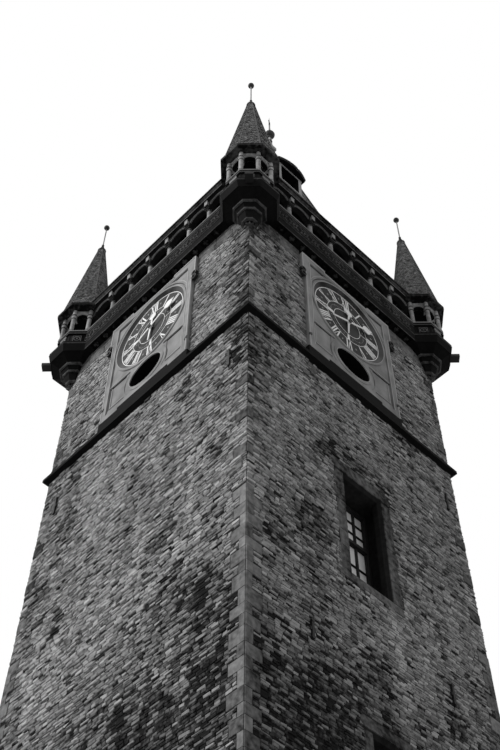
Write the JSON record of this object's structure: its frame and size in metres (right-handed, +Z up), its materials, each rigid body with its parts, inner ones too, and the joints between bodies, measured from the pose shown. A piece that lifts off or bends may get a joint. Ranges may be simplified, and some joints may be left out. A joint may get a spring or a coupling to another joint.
{
  "type": "clock tower, 1:2 scale model",
  "caption": "Square stone clock tower with a dial on each face, an arcaded gallery with corner turrets and spires, and a steep hipped slate roof; half real size.",
  "frame": {"origin": "middle of the base, on the ground", "axes": "+Z up; the front face looks along -Y and the face with the door and windows along +X"},
  "size_m": [6.92, 6.74, 34.72],
  "materials": {
    "rubble_stone": "rough squared rubble",
    "dark_stone": "weathered dark stone",
    "pale_stone": "smooth dressed stone",
    "plaster": "smooth stone slab",
    "dial_paint": "dark paint with white figures",
    "hand_paint": "white paint",
    "slate": "natural slate",
    "dormer_wood": "painted timber",
    "finial_metal": "weathered sheet metal",
    "iron": "dark wrought iron",
    "dark_wood": "dark stained timber",
    "window_glass": "clear glass",
    "floor_boards": "planed boards"
  },
  "bodies": {
    "tower": {"front_wall": "rubble_stone", "east_wall": "rubble_stone", "rear_wall": "rubble_stone", "west_wall": "rubble_stone", "string_course": "dark_stone", "corbel_table": "dark_stone", "parapets": "dark_stone", "eaves_cornice": "dark_stone", "turret_bases": "dark_stone", "gallery_columns": "pale_stone", "turret_columns": "pale_stone", "turret_arches": "pale_stone", "front_arches": "pale_stone", "east_arches": "pale_stone", "rear_arches": "pale_stone", "west_arches": "pale_stone", "front_clock_panel": "plaster", "east_clock_panel": "plaster", "rear_clock_panel": "plaster", "west_clock_panel": "plaster", "front_dial": "dial_paint", "east_dial": "dial_paint", "rear_dial": "dial_paint", "west_dial": "dial_paint", "turret_spires": "slate", "main_roof": "slate", "east_dormer": "dormer_wood", "west_dormer": "dormer_wood", "finials": "finial_metal", "water_spouts": "iron", "window_frames": "dark_wood", "door": "dark_wood", "window_glass": "window_glass", "floors": "floor_boards"},
    "front_minute_hand": {"front_minute_hand": "hand_paint"},
    "front_hour_hand": {"front_hour_hand": "hand_paint"},
    "east_minute_hand": {"east_minute_hand": "hand_paint"},
    "east_hour_hand": {"east_hour_hand": "hand_paint"},
    "rear_minute_hand": {"rear_minute_hand": "hand_paint"},
    "rear_hour_hand": {"rear_hour_hand": "hand_paint"},
    "west_minute_hand": {"west_minute_hand": "hand_paint"},
    "west_hour_hand": {"west_hour_hand": "hand_paint"},
    "east_weather_vane": {"east_weather_vane": "iron"},
    "west_weather_vane": {"west_weather_vane": "iron"}
  },
  "joints": [
    {"name": "front_minute_turn", "type": "hinge", "parent": "tower", "child": "front_minute_hand", "pos_m": [0, -2.86, 20.815], "axis": [0, 1, 0], "continuous": true},
    {"name": "front_hour_turn", "type": "hinge", "parent": "tower", "child": "front_hour_hand", "pos_m": [0, -2.86, 20.815], "axis": [0, 1, 0], "continuous": true},
    {"name": "east_minute_turn", "type": "hinge", "parent": "tower", "child": "east_minute_hand", "pos_m": [2.95, 0, 20.815], "axis": [-1, 0, 0], "continuous": true},
    {"name": "east_hour_turn", "type": "hinge", "parent": "tower", "child": "east_hour_hand", "pos_m": [2.95, 0, 20.815], "axis": [-1, 0, 0], "continuous": true},
    {"name": "rear_minute_turn", "type": "hinge", "parent": "tower", "child": "rear_minute_hand", "pos_m": [0, 2.86, 20.815], "axis": [0, -1, 0], "continuous": true},
    {"name": "rear_hour_turn", "type": "hinge", "parent": "tower", "child": "rear_hour_hand", "pos_m": [0, 2.86, 20.815], "axis": [0, -1, 0], "continuous": true},
    {"name": "west_minute_turn", "type": "hinge", "parent": "tower", "child": "west_minute_hand", "pos_m": [-2.95, 0, 20.815], "axis": [1, 0, 0], "continuous": true},
    {"name": "west_hour_turn", "type": "hinge", "parent": "tower", "child": "west_hour_hand", "pos_m": [-2.95, 0, 20.815], "axis": [1, 0, 0], "continuous": true},
    {"name": "east_vane_turn", "type": "hinge", "parent": "tower", "child": "east_weather_vane", "pos_m": [0.772, 0, 34.2], "axis": [0, 0, 1], "continuous": true},
    {"name": "west_vane_turn", "type": "hinge", "parent": "tower", "child": "west_weather_vane", "pos_m": [-0.772, 0, 34.2], "axis": [0, 0, 1], "continuous": true}
  ],
  "couplings": [
    {"joint": "front_hour_turn", "follows": "front_minute_turn", "ratio": 0.083333},
    {"joint": "east_minute_turn", "follows": "front_minute_turn", "ratio": 1},
    {"joint": "east_hour_turn", "follows": "front_minute_turn", "ratio": 0.083333},
    {"joint": "rear_minute_turn", "follows": "front_minute_turn", "ratio": 1},
    {"joint": "rear_hour_turn", "follows": "front_minute_turn", "ratio": 0.083333},
    {"joint": "west_minute_turn", "follows": "front_minute_turn", "ratio": 1},
    {"joint": "west_hour_turn", "follows": "front_minute_turn", "ratio": 0.083333}
  ]
}
